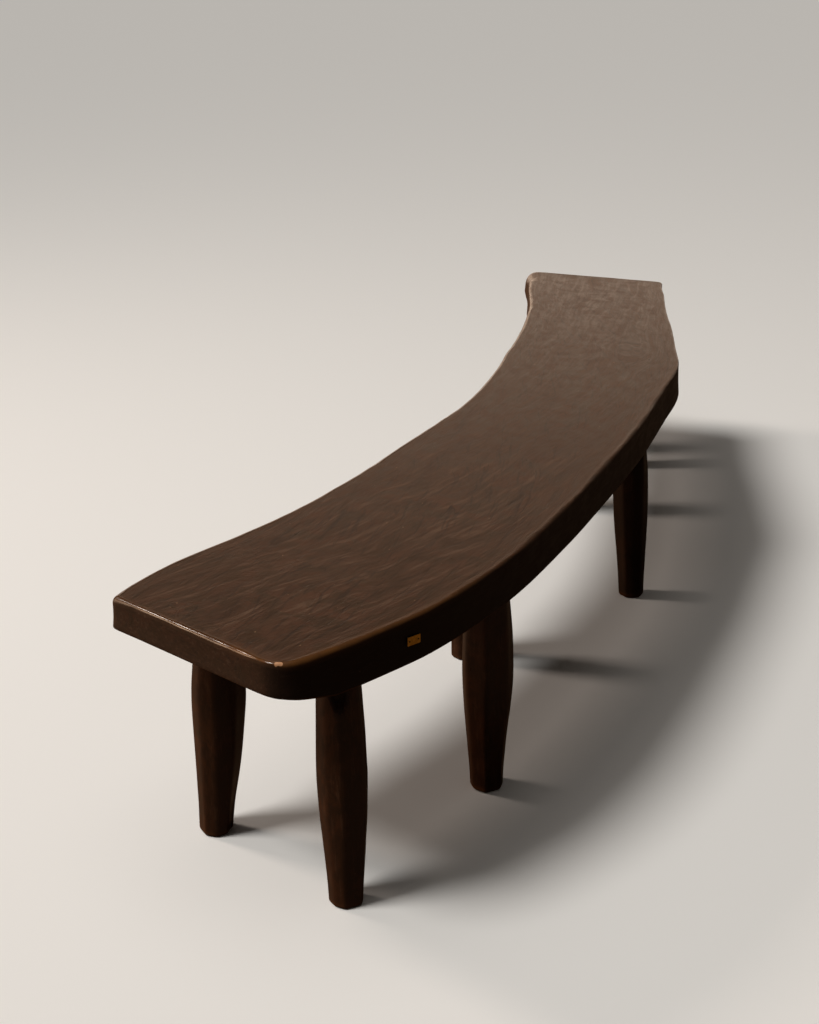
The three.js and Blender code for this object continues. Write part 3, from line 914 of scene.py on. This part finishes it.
# The camera sees it pale, and the bench sees it in the tones of an oak floor
ground = Shader("floor")
seen = ground.put("ShaderNodeLightPath").outputs["Is Camera Ray"]
mirrored = ground.put("ShaderNodeLightPath").outputs["Is Glossy Ray"]
unseen = ground.mix(mirrored, rgb(0.15, 0.1, 0.065), rgb(0.2, 0.12, 0.07))
ground.set(Base_Color=ground.mix(seen, unseen, rgb(0.88, 0.87, 0.85)), Roughness=0.8)
ground.set(Specular_IOR_Level=0.1)
floor_mesh.materials.append(ground.material)

world = bpy.data.worlds.new("world")
bpy.context.scene.world = world
world.use_nodes = True
sky = world.node_tree
light = sky.nodes["Background"]
light.inputs["Color"].default_value = rgb(1.0, 0.86, 0.73)
light.inputs["Strength"].default_value = 0.045
# Past the floor's edge the camera sees a pale sky, which lights nothing
pale = sky.nodes.new("ShaderNodeBackground")
pale.inputs["Color"].default_value = rgb(0.52, 0.51, 0.48)
pale.inputs["Strength"].default_value = 1.0
choice = sky.nodes.new("ShaderNodeMixShader")
camera_only = sky.nodes.new("ShaderNodeLightPath")
sky.links.new(camera_only.outputs["Is Camera Ray"], choice.inputs[0])
sky.links.new(light.outputs[0], choice.inputs[1])
sky.links.new(pale.outputs[0], choice.inputs[2])
sky.links.new(choice.outputs[0], sky.nodes["World Output"].inputs["Surface"])


def area_light(name, place, aim, size, power, tint):
    """A rectangular lamp at a place, aimed at a point and unseen by the camera."""
    data = bpy.data.lights.new(name, "AREA")
    data.shape = "RECTANGLE"
    data.size, data.size_y = size
    data.energy = power
    data.color = tint
    lamp = bpy.data.objects.new(name, data)
    bpy.context.scene.collection.objects.link(lamp)
    lamp.location = place
    lamp.rotation_mode = "QUATERNION"
    lamp.rotation_quaternion = (Vector(place) - Vector(aim)).to_track_quat("Z", "Y")
    lamp.visible_camera = False


# Each lamp's name, place, aim, size, watts and tint
for row in [
    ("wall_glow", (7.0, 2.6, 1.2), (0.0, 0.0, 1.2), (9.0, 2.2), 106.0, (1.0, 0.74, 0.55)),
    ("left_box", (-0.6, 3.4, 3.3), (-0.4, 0.0, 0.4), (0.65, 0.65), 46.0, (1.0, 0.86, 0.76)),
    ("left_low", (-1.9, 3.9, 1.1), (-0.4, 0.0, 0.2), (1.8, 1.8), 84.0, (1.0, 0.7, 0.47)),
    ("ceiling", (-1.2, 0.6, 4.8), (-0.6, 0.0, 0.0), (4.0, 4.0), 42.0, (1.0, 0.95, 0.9)),
]:
    area_light(*row)

# The two broad side lamps light the bench alone, so the floor stays even
bench = bpy.data.collections.new("bench")
for piece in [slab, *legs.values(), *nodes.values()]:
    bench.objects.link(piece)
for name in ("wall_glow", "left_low"):
    bpy.data.objects[name].light_linking.receiver_collection = bench

sun_data = bpy.data.lights.new("key", "SUN")
sun_data.energy = 2.05
sun_data.angle = math.radians(18)
sun_data.color = (1.0, 0.97, 0.93)
sun = bpy.data.objects.new("key", sun_data)
bpy.context.scene.collection.objects.link(sun)
sun.rotation_mode = "QUATERNION"
sun.rotation_quaternion = Vector((-0.40, 0.48, 0.86)).to_track_quat("Z", "Y")

camera_data = bpy.data.cameras.new("camera")
camera_data.lens = 58.4
camera_data.sensor_width = 36.0
camera_data.clip_end = 200.0
camera = bpy.data.objects.new("camera", camera_data)
bpy.context.scene.collection.objects.link(camera)
bpy.context.scene.camera = camera
heading, pitch, roll = math.radians(20.54), math.radians(-21.43), math.radians(-0.28)
level = math.cos(pitch)
look = Vector((level * math.cos(heading), level * math.sin(heading), math.sin(pitch)))
tilt = Matrix.Rotation(roll, 3, "Z").to_quaternion()
camera.rotation_mode = "QUATERNION"
camera.rotation_quaternion = look.to_track_quat("-Z", "Y") @ tilt
camera.location = (-2.9247, -0.9114, 1.429)

bpy.context.scene.view_settings.view_transform = "Standard"
